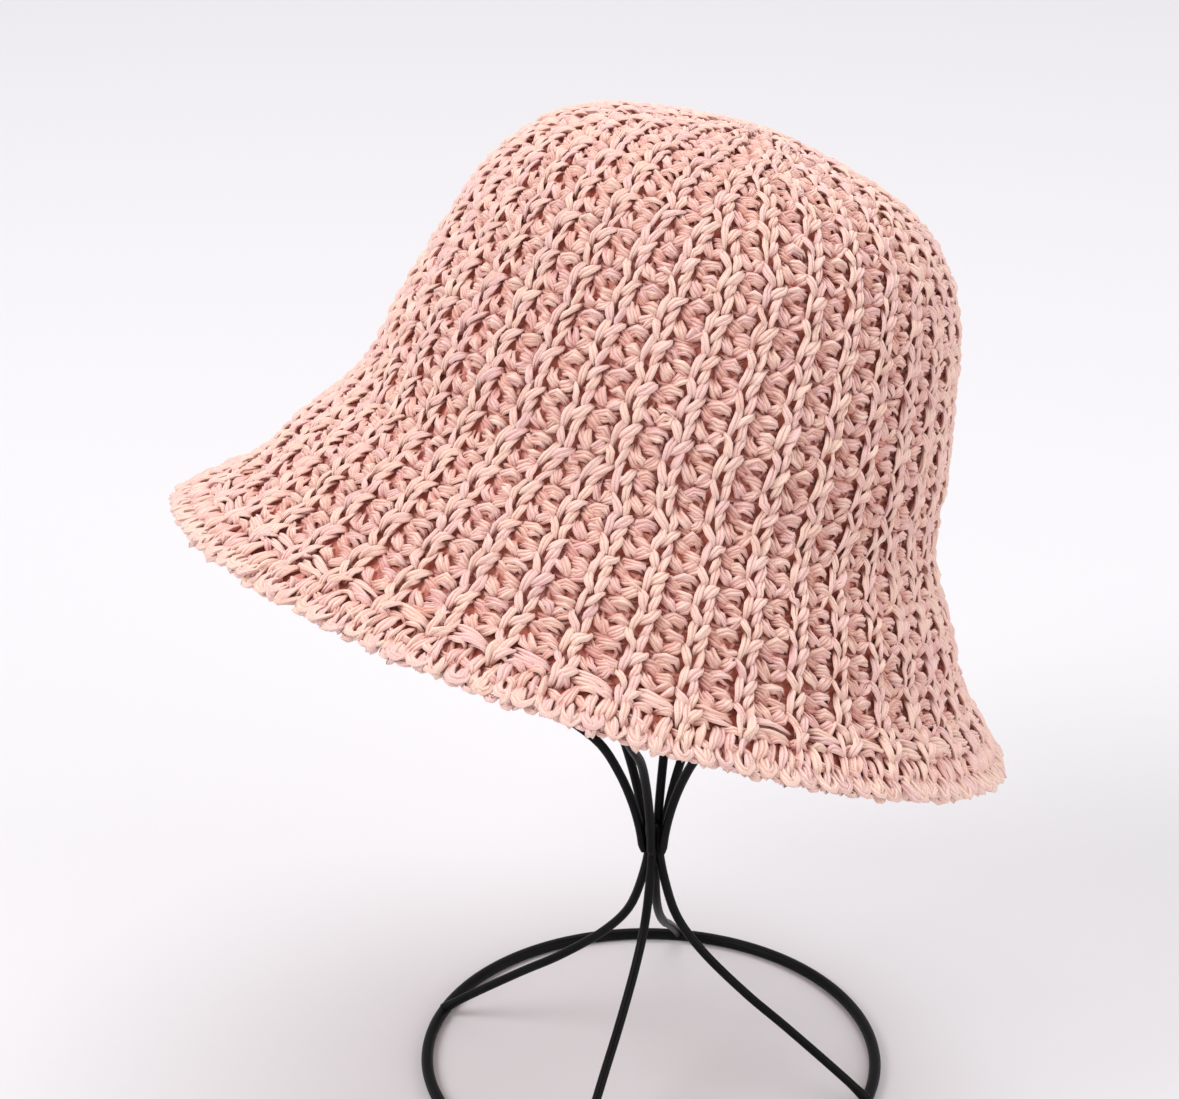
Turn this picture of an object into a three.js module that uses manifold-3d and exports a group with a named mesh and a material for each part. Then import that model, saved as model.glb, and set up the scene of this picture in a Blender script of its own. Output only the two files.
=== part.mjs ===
// A crocheted bucket hat leaning on a black wire hat stand.
// Millimetres, +Z up, the front towards -Y, the origin under the middle of the whole.
import * as THREE from "three";
import { mergeVertices } from "three/addons/utils/BufferGeometryUtils.js";
import Module from "manifold-3d";

const { degToRad, smoothstep } = THREE.MathUtils;

// Driving dimensions
const pieceGap = 0.3;
const hatRimCentre = new THREE.Vector3(-22.4, -14, 183); // from the middle of the foot ring
const hatLeanRight = degToRad(18.6);
const hatLeanBack = degToRad(14.2);
const hatWall = 5; // the crochet's thickness at a rib
const ribHeight = 1.8; // how far a rib stands out of the stitches beside it
const ribStart = 12; // the ribs rise out of the middle of the top between these two
const ribFull = 45; // distances, measured along the crown
const borderWall = 4.6;
const brimSpread = 0.025; // the soft rim is oval, wider from side to side than from front to back
const brimSpreadFrom = 60; // the height over the rim where that begins
const pointsPerRib = 3; // two on the crest and one in the valley
const borderFacets = 72;

const footRadius = 80.3;
const footWire = 4.2;
const footFacets = 48;
const footSides = 8;
const wireSize = 3.2;
const legAngles = [82, 160, 250, 340].map(degToRad); // from +X towards the back
const legSteps = 12;
const legSides = 8;
const hoopEnds = [ // the angles of each hoop's two ends
  [42, 195],
  [75, 255],
  [135, 315],
].map((ends) => ends.map(degToRad));
const hoopSteps = 36;
const hoopSides = 6;
const cageTop = 347.8; // the height where the hoops cross, just under the crown

// The hat's outline along its ribs, from the middle of the top down to the rim
const hatOutline = [
  { height: 175.6, radius: 0 },
  { height: 173.4, radius: 22 },
  { height: 165.8, radius: 53 },
  { height: 153.3, radius: 71.2 },
  { height: 135.5, radius: 82.5 },
  { height: 114.1, radius: 88.7 },
  { height: 89.1, radius: 94.8 },
  { height: 62.4, radius: 99.6 },
  { height: 39.2, radius: 113 },
  { height: 21.4, radius: 121.9 },
  { height: 8.9, radius: 134 },
  { height: 0, radius: 144.6 },
];

// The hat's pieces: the stretch of the outline that each covers, its ribs,
// and the angle from the front, towards the right, of one of them
const ribbedPieces = [
  { name: "crown_top", from: 0, to: 82, outerSteps: 7, innerSteps: 5, ribs: 30, firstRib: degToRad(0.5) },
  { name: "crown_side", from: 82, to: 164, outerSteps: 5, innerSteps: 3, ribs: 36, firstRib: degToRad(5.5) },
  { name: "brim", from: 164, to: 230, outerSteps: 5, innerSteps: 3, ribs: 42, firstRib: degToRad(-2) },
];
const borderPiece = { name: "rim_border", from: 230, outerSteps: 3, innerSteps: 3 };

// A leg from the foot ring to the top of the bundled neck
const legRoute = [
  { radius: footRadius, height: footWire / 2 + 0.9 },
  { radius: 73, height: 9 },
  { radius: 50, height: 26 },
  { radius: 35, height: 36.5 },
  { radius: 18, height: 51 },
  { radius: 9, height: 62.5 },
  { radius: 4, height: 77 },
  { radius: 1.7, height: 90 },
  { radius: 1.7, height: 98 },
];

// Half a hoop of the cage, from its cut end on the neck to the crossing at the top
const hoopRoute = [
  { radius: 3.9, height: 88 },
  { radius: 5.2, height: 97 },
  { radius: 8, height: 108 },
  { radius: 13, height: 121 },
  { radius: 20, height: 133.5 },
  { radius: 36, height: 149.5 },
  { radius: 57, height: 175 },
  { radius: 66, height: 207 },
  { radius: 65, height: cageTop - 95 },
  { radius: 57, height: cageTop - 50 },
  { radius: 41, height: cageTop - 20 },
  { radius: 20, height: cageTop - 4 },
];

const wasm = await Module();
wasm.setup();

const yarn = new THREE.MeshStandardMaterial({ color: 0xd3a69b, roughness: 0.95, metalness: 0 });
const blackPaint = new THREE.MeshStandardMaterial({ color: 0x17171a, roughness: 0.45, metalness: 0 });

// Crochet walls
const outline = new THREE.SplineCurve(hatOutline.map((row) => new THREE.Vector2(row.radius, row.height)));
outline.arcLengthDivisions = 600;
const outlineLength = outline.getLength();

// A point on the outline, moved inwards by a depth
function wallPoint(distance, depth) {
  const share = distance / outlineLength;
  const along = outline.getTangentAt(share);
  const inwards = new THREE.Vector2(along.y, -along.x);
  const point = outline.getPointAt(share).addScaledVector(inwards, depth);
  if (distance === 0) point.x = 0;
  return point;
}

// One face of a wall as a run of points down the outline, kept half a gap short of its neighbours
function wallFace({ from, to }, steps, depthAt) {
  const start = from === 0 ? 0 : from + pieceGap / 2;
  const end = to - pieceGap / 2;
  return Array.from({ length: steps + 1 }, (_, step) => {
    const distance = start + ((end - start) * step) / steps;
    return wallPoint(distance, depthAt(distance));
  });
}

// A closed section of wall: down its inner face and back up its outer one
function wallSection(piece, thickness, outerDepthAt) {
  const inner = wallFace(piece, piece.innerSteps, () => thickness);
  const outer = wallFace(piece, piece.outerSteps, outerDepthAt).reverse();
  const closing = piece.from === 0 ? [] : [inner[0].clone()];
  return [...inner, ...outer, ...closing];
}

// Turns a section round the hat's axis, with a valley between every two ribs
function ribbedWall(piece) {
  const valleyDepth = (distance) => ribHeight * smoothstep(distance, ribStart, ribFull);
  const crest = wallSection(piece, hatWall, () => 0);
  const valley = wallSection(piece, hatWall, valleyDepth);
  const columns = piece.ribs * pointsPerRib;
  const firstColumn = piece.firstRib + Math.PI / columns; // half a crest past the rib's middle
  const geometry = new THREE.LatheGeometry(crest, columns, firstColumn);
  const position = geometry.getAttribute("position");
  for (let column = 1; column < columns; column += pointsPerRib) {
    const angle = firstColumn + (column * 2 * Math.PI) / columns;
    const start = column * valley.length;
    valley.forEach((point, row) => {
      position.setXYZ(start + row, point.x * Math.sin(angle), point.y, point.x * Math.cos(angle));
    });
  }
  return geometry;
}

// The hat is turned upright, and its brim spreads more and more towards the rim
function hatPiece(name, geometry) {
  const position = geometry.getAttribute("position");
  for (let point = 0; point < position.count; point += 1) {
    const spread = brimSpread * (1 - smoothstep(position.getY(point), 0, brimSpreadFrom));
    position.setX(point, position.getX(point) * (1 + spread));
    position.setZ(point, position.getZ(point) * (1 - spread));
  }
  const mesh = new THREE.Mesh(geometry.rotateX(Math.PI / 2), yarn);
  mesh.name = name;
  return mesh;
}

// The border has no ribs, and its lower edge is rounded
function borderWallGeometry() {
  const edge = outlineLength - borderWall / 2;
  const band = wallSection({ ...borderPiece, to: edge }, borderWall, () => 0);
  const tip = wallPoint(outlineLength, borderWall / 2);
  band.splice(borderPiece.innerSteps + 1, 0, tip);
  return new THREE.LatheGeometry(band, borderFacets);
}

const hat = new THREE.Group();
hat.position.copy(hatRimCentre);
hat.rotation.set(-hatLeanBack, hatLeanRight, 0, "YXZ");
for (const piece of ribbedPieces) hat.add(hatPiece(piece.name, ribbedWall(piece)));
hat.add(hatPiece(borderPiece.name, borderWallGeometry()));

// Wire stand
function solidOf(geometry) {
  geometry.deleteAttribute("normal");
  geometry.deleteAttribute("uv");
  const merged = mergeVertices(geometry, 1e-4);
  return new wasm.Manifold(
    new wasm.Mesh({
      numProp: 3,
      vertProperties: merged.getAttribute("position").array,
      triVerts: new Uint32Array(merged.index.array),
    }),
  );
}

// A round bar's section, turned so that it lies on a flat
function roundSection(size, sides) {
  const corner = Math.PI / sides;
  return Array.from({ length: sides }, (_, side) => {
    const angle = corner + (2 * Math.PI * side) / sides;
    return new THREE.Vector2((size / 2) * Math.cos(angle), (size / 2) * Math.sin(angle));
  });
}

function wire(points, steps, sides) {
  const path = new THREE.CatmullRomCurve3(points, false, "centripetal");
  const section = new THREE.Shape(roundSection(wireSize, sides));
  return solidOf(new THREE.ExtrudeGeometry(section, { steps, extrudePath: path }));
}

function routePoints(route, angle) {
  return route.map(
    (row) => new THREE.Vector3(row.radius * Math.cos(angle), row.radius * Math.sin(angle), row.height),
  );
}

function footRing() {
  const middle = new THREE.Vector2(footRadius, footWire / 2);
  const section = roundSection(footWire, footSides).map((point) => point.add(middle));
  section.push(section[0].clone());
  return solidOf(new THREE.LatheGeometry(section, footFacets).rotateX(Math.PI / 2));
}

function wireStand() {
  let stand = footRing();
  for (const angle of legAngles) stand = stand.add(wire(routePoints(legRoute, angle), legSteps, legSides));
  for (const [riseAngle, fallAngle] of hoopEnds) {
    const rise = routePoints(hoopRoute, riseAngle);
    const fall = routePoints(hoopRoute, fallAngle).reverse();
    const crossing = new THREE.Vector3(0, 0, cageTop);
    stand = stand.add(wire([...rise, crossing, ...fall], hoopSteps, hoopSides));
  }
  const { vertProperties, triVerts } = stand.getMesh();
  const geometry = new THREE.BufferGeometry()
    .setAttribute("position", new THREE.BufferAttribute(vertProperties, 3))
    .setIndex(new THREE.BufferAttribute(triVerts, 1));
  const mesh = new THREE.Mesh(geometry, blackPaint);
  mesh.name = "wire_stand";
  return mesh;
}

// The whole, moved so that the origin is under its middle, on the surface it stands on
const parts = new THREE.Group().add(hat, wireStand());
const bounds = new THREE.Box3().setFromObject(parts, true);
const middle = bounds.getCenter(new THREE.Vector3());
parts.position.set(-middle.x, -middle.y, -bounds.min.z);

export default new THREE.Group().add(parts);
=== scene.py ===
# Crochet bucket hat on its wire stand: yarn stitches, wires, finishes, floor, light and camera
import math

import bpy
import numpy as np
from mathutils import Matrix, Vector


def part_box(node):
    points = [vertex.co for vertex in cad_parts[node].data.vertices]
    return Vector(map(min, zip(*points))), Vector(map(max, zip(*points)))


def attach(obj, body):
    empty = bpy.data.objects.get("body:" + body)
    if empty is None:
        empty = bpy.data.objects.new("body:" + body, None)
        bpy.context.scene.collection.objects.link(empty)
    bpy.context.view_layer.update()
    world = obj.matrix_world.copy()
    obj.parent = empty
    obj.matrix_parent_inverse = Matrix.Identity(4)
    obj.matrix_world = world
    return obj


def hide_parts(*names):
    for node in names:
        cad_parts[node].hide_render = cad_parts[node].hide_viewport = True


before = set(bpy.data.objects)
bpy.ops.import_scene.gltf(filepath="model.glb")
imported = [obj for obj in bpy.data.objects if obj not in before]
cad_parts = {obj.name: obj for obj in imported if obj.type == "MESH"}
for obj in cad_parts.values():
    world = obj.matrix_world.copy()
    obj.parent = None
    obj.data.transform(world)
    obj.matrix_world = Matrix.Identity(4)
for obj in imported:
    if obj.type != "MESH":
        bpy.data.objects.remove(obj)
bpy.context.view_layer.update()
print("frame loaded:", ", ".join(sorted(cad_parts)))

mm = 0.001  # lengths below are millimetres unless a note says metres
draw = np.random.default_rng(11)  # the same draws in every run

standLow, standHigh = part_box("wire_stand")
footCentre = np.array([(standLow[0] + standHigh[0]) / 2, (standLow[1] + standHigh[1]) / 2, 0.0]) / mm


# Curves

def unit(v):
    return v / np.maximum(np.linalg.norm(v, axis=-1, keepdims=True), 1e-12)


def catmullBlend(knots, rings):  # how much of each knot goes into each ring of a smooth curve
    blend = np.zeros((rings, knots))
    for ring, t in enumerate(np.linspace(0, knots - 1, rings)):
        span = min(int(t), knots - 2)
        f = t - span
        shares = (
            -0.5 * f + f ** 2 - 0.5 * f ** 3,
            1 - 2.5 * f ** 2 + 1.5 * f ** 3,
            0.5 * f + 2 * f ** 2 - 1.5 * f ** 3,
            -0.5 * f ** 2 + 0.5 * f ** 3,
        )
        for step, share in zip((-1, 0, 1, 2), shares):
            blend[ring, min(max(span + step, 0), knots - 1)] += share
    return blend


# The hat's outline, and places on it

hatShape = {
    "rimCentre": (-22.4, -14.0, 183.0),  # from the middle of the foot ring
    "leanRight": 18.6,  # degrees
    "leanBack": 14.2,
    "outline": [  # height over the rim, radius, along the crests of the ribs
        (175.6, 0), (173.4, 22), (165.8, 53), (153.3, 71.2), (135.5, 82.5), (114.1, 88.7),
        (89.1, 94.8), (62.4, 99.6), (39.2, 113), (21.4, 121.9), (8.9, 134), (0, 144.6),
    ],
    "perSpan": 80,  # points worked out from each row to the next
    "leastRadius": 3.0,  # for turning widths into angles near the middle of the top
    "spread": 0.025,  # the soft rim is wider from side to side than from front to back
    "spreadFrom": 60.0,  # the height over the rim where that begins
    "pastRim": 8.0,  # the outline runs straight on for this far, for yarn that wraps the edge
    "twist": -4.5,  # degrees that the ribs lean round the top
    "twistAt": 40.0,  # most at this distance from the middle of the top, and less within the next
    "twistSpread": 35.0,
}


def outlineOf(shape):
    knots = np.array([(radius, height) for height, radius in shape["outline"]], float)
    line = catmullBlend(len(knots), shape["perSpan"] * (len(knots) - 1) + 1) @ knots
    line = np.vstack([line, line[-1] + unit(line[-1] - line[-2]) * shape["pastRim"]])
    steps = np.diff(line, axis=0)
    reach = np.concatenate([[0], np.cumsum(np.hypot(steps[:, 0], steps[:, 1]))])
    along = unit(np.gradient(line, reach, axis=0))
    outwards = np.stack([-along[:, 1], along[:, 0]], 1)
    return reach, line, outwards


reach, line, outwards = outlineOf(hatShape)
leanTurn = np.array(
    Matrix.Rotation(math.radians(hatShape["leanRight"]), 3, "Y")
    @ Matrix.Rotation(math.radians(-hatShape["leanBack"]), 3, "X")
)
hatCentre = footCentre + np.array(hatShape["rimCentre"])


def radiusAt(distance):
    return np.maximum(np.interp(distance, reach, line[:, 0]), hatShape["leastRadius"])


def twistAt(distance):
    away = (distance - hatShape["twistAt"]) / hatShape["twistSpread"]
    return math.radians(hatShape["twist"]) * np.exp(-away ** 2)


def onHat(distance, angle, lift):  # distance from the middle of the top, angle from the front to the right
    outR = np.interp(distance, reach, outwards[:, 0])
    outZ = np.interp(distance, reach, outwards[:, 1])
    radius = np.interp(distance, reach, line[:, 0]) + outR * lift
    height = np.interp(distance, reach, line[:, 1]) + outZ * lift
    rise = np.clip(height / hatShape["spreadFrom"], 0, 1)
    spread = hatShape["spread"] * (1 - rise ** 2 * (3 - 2 * rise))
    place = [radius * np.sin(angle) * (1 + spread), -radius * np.cos(angle) * (1 - spread), height]
    place = np.stack(place, -1)
    facing = np.stack([outR * np.sin(angle), -outR * np.cos(angle), outZ], -1)
    return (place @ leanTurn.T + hatCentre) * mm, facing @ leanTurn.T


# Tubes as mesh arrays, for yarn and wire alike

def lengthsAlong(path):  # millimetres from the middle of each strand, and between its points
    gaps = np.linalg.norm(np.diff(path, axis=1), axis=-1) / mm
    length = np.concatenate([np.zeros((len(path), 1)), np.cumsum(gaps, 1)], 1)
    return length - length[:, -1:] / 2, gaps


def tubes(path, facing, size, sides, closed=False):
    count, rings = size.shape
    if closed:
        along = unit(np.roll(path, -1, 1) - np.roll(path, 1, 1))
    else:
        along = unit(np.gradient(path, axis=1))
    side = unit(np.cross(along, facing))
    if not closed:  # carried both ways from a third of the way along, so that it never flips
        first = rings // 3
        steps = [(ring, ring - 1) for ring in range(first + 1, rings)]
        steps += [(ring, ring + 1) for ring in range(first - 1, -1, -1)]
        for ring, before in steps:
            lean = (side[:, before] * along[:, ring]).sum(-1, keepdims=True)
            side[:, ring] = unit(side[:, before] - lean * along[:, ring])
    up = np.cross(side, along)
    length, gaps = lengthsAlong(path)
    around = 2 * np.pi * np.arange(sides) / sides
    spoke = np.cos(around)[:, None] * side[:, :, None] + np.sin(around)[:, None] * up[:, :, None]
    verts = path[:, :, None] + spoke * size[..., None, None]
    rise = size[..., None] * np.sin(around) / mm  # how far each point stands over the tube's middle

    index = np.arange(count * rings * sides).reshape(count, rings, sides)
    if closed:
        index = np.concatenate([index, index[:, :1]], 1)
        length = np.concatenate([length, length[:, -1:] + gaps[:, :1]], 1)
    nextIndex = np.roll(index, -1, 2)
    quads = np.stack([index[:, :-1], index[:, 1:], nextIndex[:, 1:], nextIndex[:, :-1]], -1).reshape(-1, 4)
    u0 = np.arange(sides) / sides + np.zeros(index[:, 1:].shape)
    u1 = u0 + 1 / sides
    v0 = np.broadcast_to(length[:, :-1, None], u0.shape)
    v1 = np.broadcast_to(length[:, 1:, None], u0.shape)
    uv = np.stack([u0, v0, u0, v1, u1, v1, u1, v0], -1).reshape(-1, 4, 2)
    if closed:
        caps, capUv = np.zeros((0, sides), int), np.zeros((0, sides, 2))
    else:
        caps = np.concatenate([index[:, 0], index[:, -1, ::-1]])
        capUv = np.zeros((len(caps), sides, 2))
        capUv[..., 0] = np.arange(sides) / sides
    return {
        "verts": verts.reshape(-1, 3), "rise": rise.reshape(-1),
        "quads": quads, "caps": caps, "uv": uv, "capUv": capUv,
    }


def meshPiece(name, parts, layers, material, nodes):
    verts = np.concatenate([part["verts"] for part in parts])
    start, corners, totals, uvs = 0, [], [], []
    for part in parts:
        for faces, uv in ((part["quads"], part["uv"]), (part["caps"], part["capUv"])):
            corners.append((faces + start).reshape(-1))
            totals.append(np.full(len(faces), faces.shape[1]))
            uvs.append(uv.reshape(-1, 2))
        start += len(part["verts"])
    corners, totals, uvs = np.concatenate(corners), np.concatenate(totals), np.concatenate(uvs)
    mesh = bpy.data.meshes.new(name)
    mesh.vertices.add(len(verts))
    mesh.vertices.foreach_set("co", verts.astype(np.float32).ravel())
    mesh.loops.add(len(corners))
    mesh.loops.foreach_set("vertex_index", corners.astype(np.int32))
    mesh.polygons.add(len(totals))
    mesh.polygons.foreach_set("loop_start", (np.cumsum(totals) - totals).astype(np.int32))
    mesh.polygons.foreach_set("use_smooth", np.ones(len(totals), bool))
    mesh.uv_layers.new(name="strand").data.foreach_set("uv", uvs.astype(np.float32).ravel())
    for layer, values in layers.items():
        mesh.attributes.new(layer, "FLOAT", "POINT").data.foreach_set("value", values.astype(np.float32))
    mesh.update(calc_edges=True)
    mesh.materials.append(material)
    piece = bpy.data.objects.new(name, mesh)
    bpy.context.scene.collection.objects.link(piece)
    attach(piece, "root")
    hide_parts(*nodes)
    triangles = int((totals - 2).sum())
    print(f"{name}: {triangles} triangles")


# Finishes

def linear(red, green, blue):  # a colour picked on a 0 to 255 screen scale
    values = [channel / 255 for channel in (red, green, blue)]
    return [v / 12.92 if v <= 0.04045 else ((v + 0.055) / 1.055) ** 2.4 for v in values] + [1]


def newMaterial(name):
    material = bpy.data.materials.new(name)
    material.use_nodes = True
    nodes, links = material.node_tree.nodes, material.node_tree.links
    nodes.clear()
    output = nodes.new("ShaderNodeOutputMaterial")
    shader = nodes.new("ShaderNodeBsdfPrincipled")
    links.new(shader.outputs["BSDF"], output.inputs["Surface"])
    return material, nodes, links, shader


def mathNode(nodes, links, operation, first, second=None, third=None):
    node = nodes.new("ShaderNodeMath")
    node.operation = operation
    for socket, value in zip(node.inputs, (first, second, third)):
        if value is None:
            continue
        if isinstance(value, (int, float)):
            socket.default_value = value
        else:
            links.new(value, socket)
    return node.outputs[0]


def mixColour(nodes, links, blend, factor, first, second):  # sockets 6 and 7 take the two colours
    node = nodes.new("ShaderNodeMix")
    node.data_type = "RGBA"
    node.blend_type = blend
    for socket, value in ((node.inputs[0], factor), (node.inputs[6], first), (node.inputs[7], second)):
        if isinstance(value, (int, float, list)):
            socket.default_value = value
        else:
            links.new(value, socket)
    return node.outputs[2]


def rampNode(nodes, links, factor, stops):
    node = nodes.new("ShaderNodeValToRGB")
    elements = node.color_ramp.elements
    while len(elements) < len(stops):
        elements.new(0.5)
    for element, (place, colour) in zip(elements, stops):
        element.position = place
        element.color = colour
    links.new(factor, node.inputs[0])
    return node.outputs[0]


def noiseNode(nodes, links, scale, place=None, detail=2):
    node = nodes.new("ShaderNodeTexNoise")
    node.inputs["Scale"].default_value = scale
    node.inputs["Detail"].default_value = detail
    if place:
        links.new(place, node.inputs["Vector"])
    return node.outputs["Fac"]


def rangeNode(nodes, links, value, fromRange, toRange=(0, 1)):
    node = nodes.new("ShaderNodeMapRange")
    links.new(value, node.inputs["Value"])
    for socket, number in zip(("From Min", "From Max", "To Min", "To Max"), (*fromRange, *toRange)):
        node.inputs[socket].default_value = number
    return node.outputs[0]


def attributeNode(nodes, name):
    node = nodes.new("ShaderNodeAttribute")
    node.attribute_name = name
    return node.outputs["Fac"]


def bumpNode(nodes, links, shader, height, look):
    node = nodes.new("ShaderNodeBump")
    node.inputs["Strength"].default_value = look["bump"]
    node.inputs["Distance"].default_value = look["bumpDepth"]
    links.new(height, node.inputs["Height"])
    links.new(node.outputs[0], shader.inputs["Normal"])


yarnFinish = {
    "melange": [  # from one strand to the next
        (0.0, linear(240, 199, 195)), (0.3, linear(245, 207, 196)), (0.55, linear(247, 211, 198)),
        (0.8, linear(248, 216, 198)), (1.0, linear(242, 200, 185)),
    ],
    "paintedShade": linear(204, 114, 94),  # painted shade: yarn low in the fabric, between and under the strands, is coloured darker and redder
    "paintedShadeFrom": -4.2,  # lift at which the painted shade is strongest, and at which it ends
    "paintedShadeTo": -0.8,
    "insideFrom": -4.4,  # past this, towards the inside of the hat, the painted shade fades out and the yarn is pink again
    "insideTo": -5.0,
    "openFrom": 243.0,  # along the outline: near the edge, yarn of any lift lies in the open and gets no painted shade
    "openTo": 246.5,
    "grooveShade": linear(206, 146, 131),  # painted shade in the grooves between fibres
    "grooveShadeStrength": 0.22,  # how far this painted shade darkens the yarn
    "uneven": 0.1,  # how much a strand's thickness varies along it, as a share
    "plySize": 0.7,  # a ply's radius and its distance from the strand's middle, as shares of the radius
    "plyApart": 0.48,
    "plyWander": 0.45,  # radians that a strand is turned by from its plies lying side by side
    "turnLength": 46.0,  # along the strand, for one turn of its plies
    "fibres": 4,
    "sides": 4,  # of a ply, or of a plain strand inside the hat
    "fleckScale": 330.0,
    "fleckDetail": 3,
    "drift": 0.5,  # how far the flecks move a strand along the melange
    "lintScale": 1900.0,
    "lint": linear(251, 230, 222),
    "lintRange": (0.48, 0.68),  # of the noise, from no lint to the most
    "lintShare": 0.5,
    "fibreRelief": 0.3,
    "fuzzRelief": 0.6,
    "roughness": 0.9,
    "sheen": 0.3,
    "gloss": 0.2,
    "bump": 0.6,
    "bumpDepth": 0.0005,  # metres
}


def yarnMaterial():
    look = yarnFinish
    material, nodes, links, shader = newMaterial("melange_yarn")
    tint = attributeNode(nodes, "tint")
    lift = attributeNode(nodes, "lift")
    strand = nodes.new("ShaderNodeUVMap")
    strand.uv_map = "strand"
    parts = nodes.new("ShaderNodeSeparateXYZ")
    links.new(strand.outputs[0], parts.inputs[0])
    place = nodes.new("ShaderNodeTexCoord").outputs["Object"]

    fleck = noiseNode(nodes, links, look["fleckScale"], place, look["fleckDetail"])
    lint = noiseNode(nodes, links, look["lintScale"], place)
    drift = mathNode(nodes, links, "MULTIPLY_ADD", fleck, look["drift"], -look["drift"] / 2)
    shade = mathNode(nodes, links, "ADD", tint, drift)
    colour = rampNode(nodes, links, shade, look["melange"])

    across = mathNode(nodes, links, "MULTIPLY", parts.outputs[0], 2 * math.pi * look["fibres"])
    perLength = 2 * math.pi * look["fibres"] / look["turnLength"]
    turn = mathNode(nodes, links, "MULTIPLY", parts.outputs[1], perLength)
    fibres = mathNode(nodes, links, "COSINE", mathNode(nodes, links, "SUBTRACT", across, turn))
    specks = rangeNode(nodes, links, lint, look["lintRange"], (0, look["lintShare"]))
    colour = mixColour(nodes, links, "MIX", specks, colour, look["lint"])
    # painted shade: thin dark lines along the grooves between fibres, twisting with the plies
    between = mathNode(nodes, links, "MULTIPLY_ADD", fibres, -look["grooveShadeStrength"] / 2, look["grooveShadeStrength"] / 2)
    colour = mixColour(nodes, links, "MULTIPLY", between, colour, look["grooveShade"])

    # painted shade: the lower a point lies in the fabric, the more of the dark red shade colour it gets
    paintedShade = rangeNode(nodes, links, lift, (look["paintedShadeTo"], look["paintedShadeFrom"]))
    shadedOutside = rangeNode(nodes, links, lift, (look["insideTo"], look["insideFrom"]))
    paintedShadeMask = mathNode(nodes, links, "MULTIPLY", paintedShade, shadedOutside)
    colour = mixColour(nodes, links, "MIX", paintedShadeMask, colour, look["paintedShade"])
    links.new(colour, shader.inputs["Base Color"])

    fine = mathNode(nodes, links, "MULTIPLY", fibres, look["fibreRelief"])
    fuzz = mathNode(nodes, links, "ADD", fleck, lint)
    fuzz = mathNode(nodes, links, "MULTIPLY", fuzz, look["fuzzRelief"])
    bumpNode(nodes, links, shader, mathNode(nodes, links, "ADD", fine, fuzz), look)
    shader.inputs["Roughness"].default_value = look["roughness"]
    shader.inputs["Sheen Weight"].default_value = look["sheen"]
    shader.inputs["Specular IOR Level"].default_value = look["gloss"]
    return material


backingFinish = {
    "shadedOutside": [(0.35, linear(186, 100, 82)), (0.7, linear(214, 136, 117))],  # shares of the noise; the outside face's dark red is painted shade in the gaps between stitches
    "inside": [(0.35, linear(206, 150, 136)), (0.7, linear(232, 184, 170))],
    "weaveScale": 420.0,
    "roughness": 0.95,
    "gloss": 0.15,
    "bump": 0.5,
    "bumpDepth": 0.0006,  # metres
}


def backingMaterial():
    look = backingFinish
    material, nodes, links, shader = newMaterial("gap_yarn_with_painted_shade")
    place = nodes.new("ShaderNodeTexCoord").outputs["Object"]
    weave = noiseNode(nodes, links, look["weaveScale"], place)
    faces = [rampNode(nodes, links, weave, look[side]) for side in ("shadedOutside", "inside")]
    # painted shade on the outer face, plain pink yarn on the inner face
    colour = mixColour(nodes, links, "MIX", attributeNode(nodes, "inner"), *faces)
    links.new(colour, shader.inputs["Base Color"])
    bumpNode(nodes, links, shader, weave, look)
    shader.inputs["Roughness"].default_value = look["roughness"]
    shader.inputs["Specular IOR Level"].default_value = look["gloss"]
    return material


paintFinish = {
    "black": [(0.4, linear(8, 8, 9)), (0.75, linear(18, 18, 20))],  # shares of the mottle, the last one worn
    "mottleScale": 90.0,
    "mottleDetail": 4,
    "orangePeelScale": 1400.0,
    "roughness": (0.36, 0.52),
    "gloss": 0.12,
    "bump": 0.12,
    "bumpDepth": 0.0002,  # metres
}


def paintMaterial():
    look = paintFinish
    material, nodes, links, shader = newMaterial("satin_black_paint")
    place = nodes.new("ShaderNodeTexCoord").outputs["Object"]
    mottle = noiseNode(nodes, links, look["mottleScale"], place, look["mottleDetail"])
    links.new(rampNode(nodes, links, mottle, look["black"]), shader.inputs["Base Color"])
    rough = rangeNode(nodes, links, mottle, (0, 1), look["roughness"])
    links.new(rough, shader.inputs["Roughness"])
    shader.inputs["Specular IOR Level"].default_value = look["gloss"]
    bumpNode(nodes, links, shader, noiseNode(nodes, links, look["orangePeelScale"], place), look)
    return material


yarn = yarnMaterial()
yarnBacking = backingMaterial()
blackPaint = paintMaterial()
print("finishes made")


# Rounds of crochet: where each round lies, and the angles of its ribs at its top and bottom

roundsPlan = {
    "sectors": 6,  # every increase forks one rib in each sector
    "forkAngle": -14.5,  # degrees, a forking rib of the round with six ribs to a sector
    "forkRibs": 6,
    "nearest": 0.6,  # no strand comes closer to the middle of the top
    "forkSpread": 0.22,  # how far apart the two new ribs start, as a share of their spacing
    "stretches": [  # from and to along the outline, and the ribs to a sector in each round
        {"node": "crown_top", "from": 1.5, "to": 82.0, "ribs": [1, 2, 3, 4, 5, 5]},
        {"node": "crown_side", "from": 82.0, "to": 164.0, "ribs": [6, 6, 6, 6, 6, 6]},
        {"node": "brim", "from": 164.0, "to": 230.0, "ribs": [7, 7, 7, 7, 7]},
    ],
}


def ribAngles(ribs):
    plan = roundsPlan
    sector = 360 / plan["sectors"]
    first = plan["forkAngle"]
    for more in range(plan["forkRibs"] + 1, ribs + 1):
        first -= sector / 2 / more
    for fewer in range(ribs + 1, plan["forkRibs"] + 1):
        first += sector / 2 / fewer
    return np.radians(first + sector / ribs * np.arange(ribs * plan["sectors"]))


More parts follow.
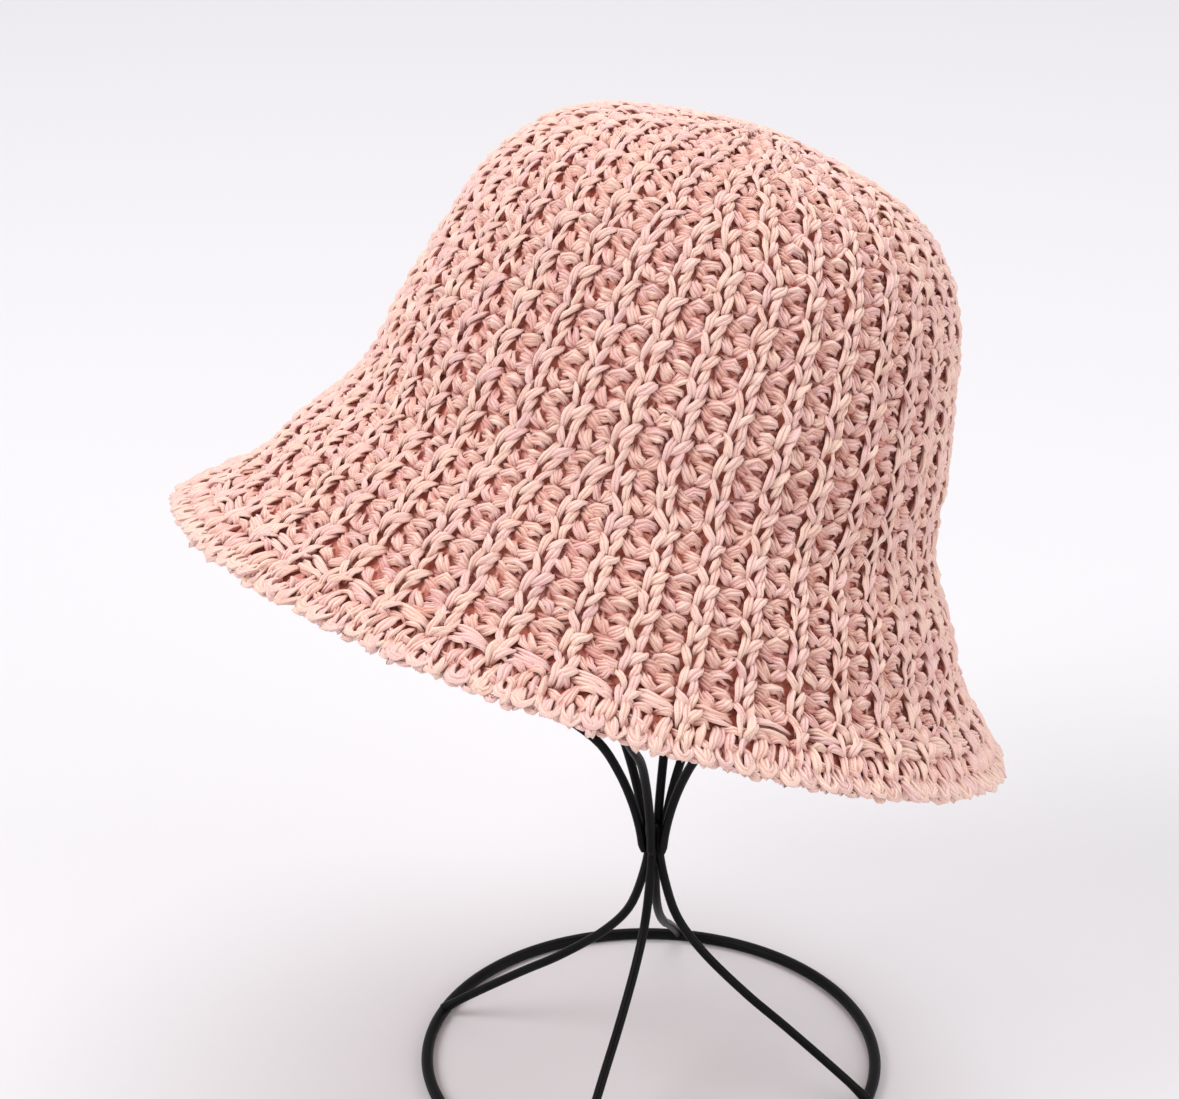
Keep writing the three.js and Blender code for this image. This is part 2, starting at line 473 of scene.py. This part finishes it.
def roundsOf(stretch, above):
    plan = roundsPlan
    tall = (stretch["to"] - stretch["from"]) / len(stretch["ribs"])
    rounds = []
    for number, ribs in enumerate(stretch["ribs"]):
        bottom = ribAngles(ribs)
        top = bottom.copy()
        fork = np.zeros(len(bottom), bool)
        if above and ribs > above:
            parent = ribAngles(above)
            spread = plan["forkSpread"] * 2 * np.pi / len(bottom)
            for rib in range(len(bottom)):
                sector, place = divmod(rib, ribs)
                top[rib] = parent[sector * above + max(place - 1, 0)]
                top[rib] += {0: -spread, 1: spread}.get(place, 0)
                fork[rib] = place == 0
        rounds.append({
            "from": stretch["from"] + number * tall, "tall": tall,
            "top": top, "bottom": bottom, "fork": fork,
        })
        above = ribs
    return rounds, above


# One repeat of the stitch: strands as five points each

ribStitch = {
    "pitch": 16.6,  # the spacing that the strands below were drawn for
    "closing": 0.6,  # the power by which a rib narrows with its spacing
    "narrowest": 0.5,  # the least share of a rib's width, and of its strands' thickness
    "thinnest": 0.7,
    "rings": 7,
    "jitter": (0.3, 0.022, 0.2),  # sideways, along the round's height, outwards
    "strands": {  # radius, then sideways from the rib's middle, share of the round's height, lift
        "wrap": (1.34, [
            (3.9, -0.03, -3.2), (3.2, 0.05, -1.4), (1.5, 0.19, -0.8), (-0.2, 0.33, -1.3), (-1, 0.41, -3),
        ]),
        "leftRise": (1.12, [
            (-0.6, -0.12, -3), (-1.1, 0, -1.7), (-1.9, 0.22, -1), (-2.3, 0.44, -1.1), (-2.2, 0.68, -3),
        ]),
        "leftFall": (1.15, [
            (-3.3, 0.56, -3), (-3, 0.64, -1.7), (-2, 0.8, -0.9), (-0.7, 0.96, -1), (0.2, 1.08, -3),
        ]),
        "rightRise": (1.12, [
            (2.6, 0.2, -3), (2.3, 0.32, -1.7), (1.6, 0.48, -1.1), (1.1, 0.62, -1.4), (0.9, 0.74, -3),
        ]),
        "rightFall": (1.12, [
            (2.7, 0.52, -3), (2.4, 0.64, -1.6), (1.9, 0.82, -1.1), (1.6, 0.98, -1.4), (1.7, 1.12, -3),
        ]),
    },
}

clusterStitch = {
    "pitch": 14.0,  # with less spacing than this the strands are thinner
    "thinnest": 0.62,
    "forksFrom": 0.4,  # a forking rib leaves no room for strands higher in the round than this
    "rings": 5,
    "jitter": (0.022, 0.03, 0.28),
    "strands": {  # radius, then share of the way to the next rib, share of the round's height, lift
        "arch": (1.12, [
            (0.31, 0.2, -3.7), (0.38, 0.07, -2.5), (0.54, -0.01, -1.7), (0.72, 0.01, -2), (0.85, 0.12, -3.7),
        ]),
        "archInner": (1.05, [
            (0.34, 0.27, -3.8), (0.42, 0.15, -2.8), (0.55, 0.1, -2.1), (0.69, 0.12, -2.4), (0.78, 0.22, -3.8),
        ]),
        "upperBar": (1.1, [
            (0.19, 0.08, -3.7), (0.27, 0.12, -2.9), (0.38, 0.19, -2.4), (0.5, 0.26, -2.9), (0.58, 0.33, -3.9),
        ]),
        "lowerBar": (1.1, [
            (0.2, 0.2, -3.9), (0.27, 0.25, -3.2), (0.38, 0.32, -2.8), (0.51, 0.38, -3.3), (0.59, 0.43, -4.1),
        ]),
        "middleBar": (1.12, [
            (0.4, 0.4, -3.7), (0.5, 0.385, -2.5), (0.62, 0.4, -1.8), (0.75, 0.44, -2.1), (0.86, 0.49, -3.7),
        ]),
        "middleBarLow": (1.08, [
            (0.44, 0.51, -3.8), (0.53, 0.5, -2.7), (0.64, 0.51, -2.1), (0.76, 0.55, -2.3), (0.86, 0.6, -3.7),
        ]),
        "outerLobe": (1.1, [
            (0.2, 0.45, -3.7), (0.2, 0.55, -2.6), (0.27, 0.68, -1.9), (0.38, 0.8, -2.2), (0.5, 0.88, -3.7),
        ]),
        "innerLobe": (1.08, [
            (0.3, 0.45, -3.7), (0.32, 0.55, -2.5), (0.38, 0.67, -1.8), (0.47, 0.78, -2.2), (0.54, 0.85, -3.7),
        ]),
        "rightLobe": (1.12, [
            (0.52, 0.9, -3.7), (0.62, 0.85, -2.4), (0.72, 0.75, -1.8), (0.79, 0.65, -2.2), (0.83, 0.55, -3.7),
        ]),
        "rightLobeInner": (1.08, [
            (0.46, 0.83, -3.7), (0.54, 0.77, -2.3), (0.63, 0.68, -1.8), (0.7, 0.6, -2.1), (0.75, 0.52, -3.7),
        ]),
        "lowBar": (1.25, [
            (0.2, 0.86, -4.3), (0.31, 0.93, -3.9), (0.5, 0.97, -3.4), (0.68, 0.93, -3.7), (0.84, 0.85, -4.1),
        ]),
    },
}

insideStitch = {
    "pitch": 14.0,
    "thinnest": 0.62,
    "forksFrom": 0.0,
    "rings": 5,
    "jitter": (0.014, 0.02, 0.12),
    "strands": {
        "upperRidge": (1.15, [
            (-0.06, 0.2, -3.6), (0.2, 0.15, -4.3), (0.5, 0.2, -4.6), (0.8, 0.25, -4.3), (1.06, 0.2, -3.6),
        ]),
        "lowerRidge": (1.15, [
            (-0.06, 0.62, -3.6), (0.2, 0.68, -4.3), (0.5, 0.63, -4.5), (0.8, 0.58, -4.3), (1.06, 0.64, -3.6),
        ]),
        "leftPost": (1.1, [
            (0.3, 0.22, -3.4), (0.31, 0.4, -4.1), (0.36, 0.62, -4.3), (0.4, 0.85, -4.1), (0.42, 1.05, -3.4),
        ]),
        "rightPost": (1.1, [
            (0.74, 0.2, -3.4), (0.7, 0.4, -4.1), (0.66, 0.62, -4.3), (0.6, 0.85, -4.1), (0.57, 1.05, -3.4),
        ]),
    },
}

middleStitch = {  # the ring of yarn that the first round is worked into
    "strands": 9,
    "radius": 1.4,
    "points": [  # angle round the middle in degrees, distance from it, lift
        (-24, 4.6, -3.4), (-8, 3.2, -1.9), (16, 2.6, -1.3), (40, 3.4, -1.7), (60, 4.8, -3.4),
    ],
    "jitter": (3.0, 0.25, 0.2),
}

strandTaper = np.array([0.62, 0.96, 1.06, 0.96, 0.62])  # thickness at a strand's five points


def jittered(shape, amount):
    return draw.normal(0, amount, shape)


def strayed(points, count, jitter):  # each strand's own copy of the points, an array for each of their parts
    points = np.array(points)
    return [points[None, :, axis] + jittered((count, len(points)), jitter[axis]) for axis in range(3)]


def ribStrands(rows, strand):
    stitch = ribStitch
    radius, points = strand
    parts = []
    for row in rows:
        count = len(row["top"])
        side, share, lift = strayed(points, count, stitch["jitter"])
        distance = np.maximum(row["from"] + share * row["tall"], roundsPlan["nearest"])
        held = np.clip(share, 0, 1)
        middle = row["top"][:, None] * (1 - held) + row["bottom"][:, None] * held
        spacing = 2 * np.pi * radiusAt(distance) / count
        scale = np.clip((spacing / stitch["pitch"]) ** stitch["closing"], stitch["narrowest"], 1.0)
        angle = middle + side * scale / radiusAt(distance) + twistAt(distance)
        parts.append((distance, angle, lift, radius * np.clip(scale.mean(1), stitch["thinnest"], 1.0)))
    return [np.concatenate(values) for values in zip(*parts)]


def clusterStrands(rows, strand, stitch):
    radius, points = strand
    inForks = np.mean([down for share, down, lift in points]) < stitch["forksFrom"]
    parts = []
    for row in rows:
        count = len(row["top"])
        share, down, lift = strayed(points, count, stitch["jitter"])
        distance = np.maximum(row["from"] + down * row["tall"], roundsPlan["nearest"])
        held = np.clip(down, 0, 1)
        turn = np.where(np.arange(count) == count - 1, 2 * np.pi, 0)
        left = row["top"][:, None] * (1 - held) + row["bottom"][:, None] * held
        nextTop = (np.roll(row["top"], -1) + turn)[:, None]
        nextBottom = (np.roll(row["bottom"], -1) + turn)[:, None]
        right = nextTop * (1 - held) + nextBottom * held
        angle = left * (1 - share) + right * share + twistAt(distance)
        spacing = ((right - left) * radiusAt(distance)).mean(1)
        keep = ~(row["fork"] & inForks)
        thick = radius * np.clip(spacing / stitch["pitch"], stitch["thinnest"], 1.0)
        parts.append((distance[keep], angle[keep], lift[keep], thick[keep]))
    return [np.concatenate(values) for values in zip(*parts)]


def middleStrands():
    look = middleStitch
    count = look["strands"]
    turn, distance, lift = strayed(look["points"], count, look["jitter"])
    angle = np.radians(turn + 360 / count * np.arange(count)[:, None])
    return distance, angle, lift, np.full(count, look["radius"])


def plyShift(path, face, size):  # from the middle of each strand to one of its two plies
    along = unit(np.gradient(path, axis=1))
    across = unit(np.cross(along, face))
    turn = jittered((len(path), 1), yarnFinish["plyWander"])
    turn = (turn + 2 * np.pi * lengthsAlong(path)[0] / yarnFinish["turnLength"])[..., None]
    towards = np.cos(turn) * across + np.sin(turn) * np.cross(across, along)
    return towards * size[..., None] * yarnFinish["plyApart"]


def yarnPiece(name, strandSets, nodes, rings, plies=2):
    blend = catmullBlend(len(strandTaper), rings)
    sides = yarnFinish["sides"]
    parts, tints, lifts = [], [], []
    for distance, angle, lift, radius in strandSets:
        place, facing = onHat(distance, angle, lift)
        path = np.einsum("rk,nkc->nrc", blend, place)
        face = np.einsum("rk,nkc->nrc", blend, facing)
        uneven = 1 + jittered((len(radius), len(strandTaper)), yarnFinish["uneven"])
        size = np.einsum("rk,nk->nr", blend, radius[:, None] * strandTaper * uneven) * mm
        shift = np.zeros(path.shape)
        if plies == 2:
            shift = plyShift(path, face, size)
            size = size * yarnFinish["plySize"]
        tint = draw.random(len(radius))
        # the painted shade fades out near the edge, where the yarn lies in the open
        covered = (yarnFinish["openTo"] - distance) / (yarnFinish["openTo"] - yarnFinish["openFrom"])
        covered = np.clip(covered @ blend.T, 0, 1)
        for way in (1, -1)[:plies]:
            part = tubes(path + way * shift, face, size, sides)
            parts.append(part)
            tints.append(np.repeat(tint, rings * sides))
            # the lift attribute carries the painted shade: lower plies and the undersides of each ply get
            # more of it
            height = lift @ blend.T + way * (shift * face).sum(-1) / mm
            lifts.append(np.repeat(height * covered, sides) + part["rise"])
    layers = {"tint": np.concatenate(tints), "lift": np.concatenate(lifts)}
    meshPiece(name, parts, layers, yarn, nodes)


ribsAbove = 0
for stretch in roundsPlan["stretches"]:
    node = stretch["node"]
    rounds, ribsAbove = roundsOf(stretch, ribsAbove)
    ribs = [ribStrands(rounds, s) for s in ribStitch["strands"].values()]
    if node == "crown_top":
        ribs.append(middleStrands())
    yarnPiece(node + "_ribs", ribs, [node], ribStitch["rings"])
    clusters = [clusterStrands(rounds, s, clusterStitch) for s in clusterStitch["strands"].values()]
    yarnPiece(node + "_clusters", clusters, [node], clusterStitch["rings"])
    inside = [clusterStrands(rounds, s, insideStitch) for s in insideStitch["strands"].values()]
    yarnPiece(node + "_inside", inside, [node], insideStitch["rings"], plies=1)
print("crown and brim stitched")


# The border: a braid, upright stitches and loops that wrap the edge

borderStitch = {
    "from": 230.0,
    "postsPerRib": 3,
    "jitter": (0.25, 0.3, 0.2),
    "stray": (0.6, 0.5, 0.25),  # the same three, for a whole strand
    "slant": 0.13,  # how far a post leans to either side, about this distance below the start
    "slantAbout": 12.0,
    "unevenSize": 0.06,  # how much the strands differ in thickness, as a share
    "rings": 8,
    "posts": {  # radius, then sideways, distance below the border's start, lift
        "chain": (1.15, [
            (-3.6, 4.6, -3.6), (-2, 3.9, -2.2), (0, 3.6, -1.6), (2, 4.1, -2), (3.6, 5.2, -3.6),
        ]),
        "leftPost": (1.2, [
            (-0.6, 3.4, -3.8), (-1.1, 5.8, -2.1), (-1.8, 8.6, -1.5), (-2.2, 11.4, -1.8), (-2.2, 13.8, -3.4),
        ]),
        "rightPost": (1.2, [
            (2.9, 4.4, -3.8), (2.5, 6.8, -2.3), (1.9, 9.4, -1.8), (1.4, 11.8, -1.9), (1.1, 14.2, -3.4),
        ]),
        "crossBar": (1.12, [
            (-2.6, 8.4, -3.6), (-1, 9.4, -2.6), (0.4, 10.4, -2), (2.2, 11.4, -2.2), (3.4, 12.4, -3.6),
        ]),
        "edgeLoop": (1.35, [
            (-2.3, 11.4, -3.2), (-2.6, 15.2, -1.8), (-0.2, 18.1, -1.9), (2.4, 15.6, -1.9), (2.2, 11.8, -3.3),
        ]),
        "edgeWrap": (1.4, [
            (0.2, 11.4, -2.6), (0, 14.4, -1.4), (-0.1, 18.1, -2.9), (0.1, 15.6, -4.1), (0.3, 12, -4.1),
        ]),
        "sideWrap": (1.2, [
            (3.2, 11.2, -3), (3.4, 14, -2.4), (3.5, 16.9, -3.1), (3.6, 14.8, -4.2), (3.6, 11.8, -4.2),
        ]),
        "backLoop": (1.25, [
            (2, 11.4, -3.8), (1.8, 15.4, -4.1), (3.5, 17.6, -3.5), (5.2, 15.4, -4.1), (5, 11.4, -3.8),
        ]),
        "insidePost": (1.3, [
            (-0.6, 2, -3.6), (-0.4, 5.5, -4.1), (0, 9, -4.3), (0.3, 12, -4.1), (0.6, 14, -3.6),
        ]),
    },
    "ribEnds": {  # the ribs run out over the border, with two long bars between every two
        "leftTail": (1.12, [
            (-1.6, -3.4, -3), (-2, -1, -1.2), (-2.4, 2, -0.7), (-2.4, 5, -1), (-2, 8, -3),
        ]),
        "rightTail": (1.12, [
            (1.4, -3.4, -3), (1.6, -1, -1.3), (1.3, 2, -0.8), (0.6, 5, -1.1), (0, 7.6, -3),
        ]),
        "tailWrap": (1.3, [
            (3.8, -0.6, -3.2), (3, 0.6, -1.1), (1.4, 2.4, -0.4), (-0.2, 4.2, -0.9), (-1, 5.4, -3),
        ]),
        "upperBar": (1.15, [
            (3.2, -1.2, -3.4), (6, -0.6, -1.8), (10, 0.2, -1.2), (14, 1, -1.6), (17.4, 1.8, -3.4),
        ]),
        "lowerBar": (1.15, [
            (2.6, 1.2, -3.4), (5.5, 1.8, -1.9), (9.6, 2.6, -1.3), (13.6, 3.4, -1.7), (17, 4.2, -3.4),
        ]),
    },
}


def borderStrands(strand, angles, slant):
    radius, points = strand
    count = len(angles)
    stray = [jittered((count, 1), amount) for amount in borderStitch["stray"]]
    moved = strayed(points, count, borderStitch["jitter"])
    side, below, lift = (part + away for part, away in zip(moved, stray))
    side = side + jittered((count, 1), slant) * (below - borderStitch["slantAbout"])
    distance = borderStitch["from"] + below
    angle = angles[:, None] + side / radiusAt(distance)
    return distance, angle, lift, radius * (1 + jittered(count, borderStitch["unevenSize"]))


lastRibs = ribAngles(ribsAbove)
postCount = len(lastRibs) * borderStitch["postsPerRib"]
postAngles = lastRibs[0] + 2 * np.pi * np.arange(postCount) / postCount
borderSets = [borderStrands(s, postAngles, borderStitch["slant"]) for s in borderStitch["posts"].values()]
borderSets += [borderStrands(s, lastRibs, 0.0) for s in borderStitch["ribEnds"].values()]
yarnPiece("rim_border_stitches", borderSets, ["rim_border"], borderStitch["rings"])


# The cloth behind the stitches, one thin closed wall, its outer face coloured with painted shade

backingWall = {
    "outer": -3.8,  # lift of its two faces
    "inner": -4.4,
    "start": 0.5,  # from the middle of the top
    "end": 14.0,  # below the border's start
    "columns": 72,
    "rows": 30,
}


def backing():
    look = backingWall
    rows, columns = look["rows"], look["columns"]
    down = np.linspace(look["start"], borderStitch["from"] + look["end"], rows)
    distance, angle = np.meshgrid(down, 2 * np.pi * np.arange(columns) / columns, indexing="ij")
    faces = [onHat(distance, angle, look[face])[0] for face in ("outer", "inner")]
    verts = np.concatenate([face.reshape(-1, 3) for face in faces])
    outer = np.arange(rows * columns).reshape(rows, columns)
    inner = outer + rows * columns

    def strip(a, b):
        return np.stack([a, b, np.roll(b, -1), np.roll(a, -1)], -1)

    quads = np.concatenate(
        [strip(outer[r], outer[r + 1]) for r in range(rows - 1)]
        + [strip(inner[r + 1], inner[r]) for r in range(rows - 1)]
        + [strip(outer[-1], inner[-1]), strip(inner[0], outer[0])]
    )
    part = {
        "verts": verts, "quads": quads, "uv": np.zeros((len(quads), 4, 2)),
        "caps": np.zeros((0, 3), int), "capUv": np.zeros((0, 3, 2)),
    }
    nodes = [stretch["node"] for stretch in roundsPlan["stretches"]] + ["rim_border"]
    layers = {"inner": np.repeat([0.0, 1.0], rows * columns)}
    meshPiece("cloth_backing", [part], layers, yarnBacking, nodes)


backing()
print("border and backing made")


# The wire stand

wireStand = {
    "wire": 3.2,
    "footWire": 4.2,
    "footRadius": 80.3,
    "legAngles": [82, 160, 250, 340],  # degrees from +X towards the back
    "legRoute": [  # distance from the axis, height
        (80.3, 3), (73, 9), (50, 26), (35, 36.5), (18, 51), (9, 62.5), (4, 77), (1.7, 90), (1.7, 98),
    ],
    "hoopEnds": [(42, 195), (75, 255), (135, 315)],  # the angles of each hoop's two ends
    "hoopRoute": [
        (3.9, 88), (5.2, 97), (8, 108), (13, 121), (20, 133.5), (36, 149.5), (57, 175), (66, 207),
        (65, 252.8), (57, 297.8), (41, 327.8), (20, 343.8),
    ],
    "cageTop": 347.8,
    "sides": 14,
    "ringSteps": 144,
    "legSteps": 10,  # from each row of a route to the next
    "hoopSteps": 6,
    "weld": 0.25,  # how much a leg swells where it is soldered to the foot ring
    "weldReach": 4.0,
    "cutTaper": 0.45,  # how much a hoop narrows at its nipped ends
    "cutReach": 1.6,
}


def smoothRoute(points, perSpan):  # centripetal curve through the points
    knots = np.array(points, float)
    ends = np.vstack([2 * knots[0] - knots[1], knots, 2 * knots[-1] - knots[-2]])
    route = []
    for p in zip(ends, ends[1:], ends[2:], ends[3:]):
        t = np.concatenate([[0], np.cumsum([np.linalg.norm(b - a) ** 0.5 for a, b in zip(p, p[1:])])])
        for s in np.linspace(t[1], t[2], perSpan, endpoint=False):
            low = [(p[i] * (t[i + 1] - s) + p[i + 1] * (s - t[i])) / (t[i + 1] - t[i]) for i in range(3)]
            mid = [(low[i] * (t[i + 2] - s) + low[i + 1] * (s - t[i])) / (t[i + 2] - t[i]) for i in range(2)]
            route.append((mid[0] * (t[2] - s) + mid[1] * (s - t[1])) / (t[2] - t[1]))
    return np.array(route + [knots[-1]])


def turned(route, angle):  # a route of distances and heights, in the upright plane at this angle
    return [(r * math.cos(math.radians(angle)), r * math.sin(math.radians(angle)), z) for r, z in route]


def wireTube(route, size):
    path = (footCentre + route) * mm
    across = np.cross(path[-1] - path[0], path[len(path) // 2] - path[0])
    facing = np.broadcast_to(unit(across), path.shape)
    return tubes(path[None], facing[None], size[None] * mm, wireStand["sides"])


def standPiece():
    look = wireStand
    parts = []
    turn = np.linspace(0, 2 * np.pi, look["ringSteps"], endpoint=False)
    ring = np.stack([np.cos(turn), np.sin(turn), np.zeros(len(turn))], 1) * look["footRadius"]
    ring = (footCentre + ring + [0, 0, look["footWire"] / 2]) * mm
    facing = np.broadcast_to([0.0, 0.0, 1.0], ring.shape)
    ringSize = np.full((1, look["ringSteps"]), look["footWire"] / 2 * mm)
    parts.append(tubes(ring[None], facing[None], ringSize, look["sides"], closed=True))
    for angle in look["legAngles"]:
        leg = smoothRoute(turned(look["legRoute"], angle), look["legSteps"])
        fromFoot = np.linalg.norm(leg - leg[0], axis=1)
        legSize = look["wire"] / 2 * (1 + look["weld"] * np.exp(-(fromFoot / look["weldReach"]) ** 2))
        parts.append(wireTube(leg, legSize))
    for riseAngle, fallAngle in look["hoopEnds"]:
        rise = turned(look["hoopRoute"], riseAngle)
        fall = turned(look["hoopRoute"], fallAngle)[::-1]
        hoop = smoothRoute(rise + [(0, 0, look["cageTop"])] + fall, look["hoopSteps"])
        fromEnd = np.minimum(np.linalg.norm(hoop - hoop[0], axis=1), np.linalg.norm(hoop - hoop[-1], axis=1))
        hoopSize = look["wire"] / 2 * (1 - look["cutTaper"] * np.exp(-(fromEnd / look["cutReach"]) ** 2))
        parts.append(wireTube(hoop, hoopSize))
    meshPiece("stand_wires", parts, {}, blackPaint, ["wire_stand"])


standPiece()
print("stand made")


# Floor, light and camera

studio = {
    "floor": linear(224, 222, 224),
    "floorLighter": 1.03,  # the paler patches of the floor
    "floorPatches": (0.3, 0.7),  # shares of the noise
    "floorScale": 3.0,
    "floorRoughness": 0.85,
    "floorHalf": 6.0,  # metres
    "world": (0.93, 0.93, 0.96),
    "worldStrength": 0.62,
    "lamps": [  # place and aim in metres, size, watts
        {"name": "key", "place": (-1.8, -1.0, 2.1), "aim": (0, 0, 0.2), "size": 1.4, "watts": 42},
        {"name": "fill", "place": (1.9, -1.0, 1.2), "aim": (0, 0, 0.2), "size": 1.6, "watts": 16},
        {"name": "top", "place": (0.2, 0.6, 2.4), "aim": (0, 0, 0.2), "size": 1.8, "watts": 26},
    ],
}


def floorMaterial():
    material, nodes, links, shader = newMaterial("pale_floor")
    patches = noiseNode(nodes, links, studio["floorScale"])
    light = [min(channel * studio["floorLighter"], 1.0) for channel in studio["floor"][:3]] + [1]
    colours = list(zip(studio["floorPatches"], (studio["floor"], light)))
    colour = rampNode(nodes, links, patches, colours)
    links.new(colour, shader.inputs["Base Color"])
    shader.inputs["Roughness"].default_value = studio["floorRoughness"]
    return material


def makeStudio():
    half = studio["floorHalf"]
    mesh = bpy.data.meshes.new("floor")
    corners = [(-half, -half, 0), (half, -half, 0), (half, half, 0), (-half, half, 0)]
    mesh.from_pydata(corners, [], [(0, 1, 2, 3)])
    mesh.materials.append(floorMaterial())
    floor = bpy.data.objects.new("floor", mesh)
    bpy.context.scene.collection.objects.link(floor)
    world = bpy.data.worlds.new("studio")
    world.use_nodes = True
    background = world.node_tree.nodes["Background"]
    background.inputs["Color"].default_value = (*studio["world"], 1)
    background.inputs["Strength"].default_value = studio["worldStrength"]
    bpy.context.scene.world = world
    for lamp in studio["lamps"]:
        data = bpy.data.lights.new(lamp["name"], "AREA")
        data.size, data.energy = lamp["size"], lamp["watts"]
        light = bpy.data.objects.new(lamp["name"], data)
        light.location = lamp["place"]
        aim = Vector(lamp["aim"]) - Vector(lamp["place"])
        light.rotation_euler = aim.to_track_quat("-Z", "Y").to_euler()
        bpy.context.scene.collection.objects.link(light)
    bpy.context.scene.view_settings.view_transform = "Standard"


photoCamera = {
    "place": (-23.1, -1073.4, 741.2),  # from the middle of the foot ring
    "pitch": 26.55,  # degrees down
    "roll": 0.33,
    "focalPixels": 3592.6,  # in the photo's 1179 by 1099 pixels
    "photoWidth": 1179,
    "sensor": 36.0,
    "clipEnd": 50.0,  # metres
}


def makeCamera():
    look = photoCamera
    data = bpy.data.cameras.new("photo_camera")
    data.sensor_width = look["sensor"]
    data.lens = look["focalPixels"] * data.sensor_width / look["photoWidth"]
    data.clip_end = look["clipEnd"]
    camera = bpy.data.objects.new("photo_camera", data)
    place = (footCentre + np.array(look["place"])) * mm
    pitch = Matrix.Rotation(math.radians(90 - look["pitch"]), 4, "X")
    roll = Matrix.Rotation(math.radians(look["roll"]), 4, "Z")
    camera.matrix_world = Matrix.Translation(place) @ pitch @ roll
    bpy.context.scene.collection.objects.link(camera)
    bpy.context.scene.camera = camera


makeStudio()
makeCamera()
print("studio and camera ready")

bpy.context.view_layer.update()
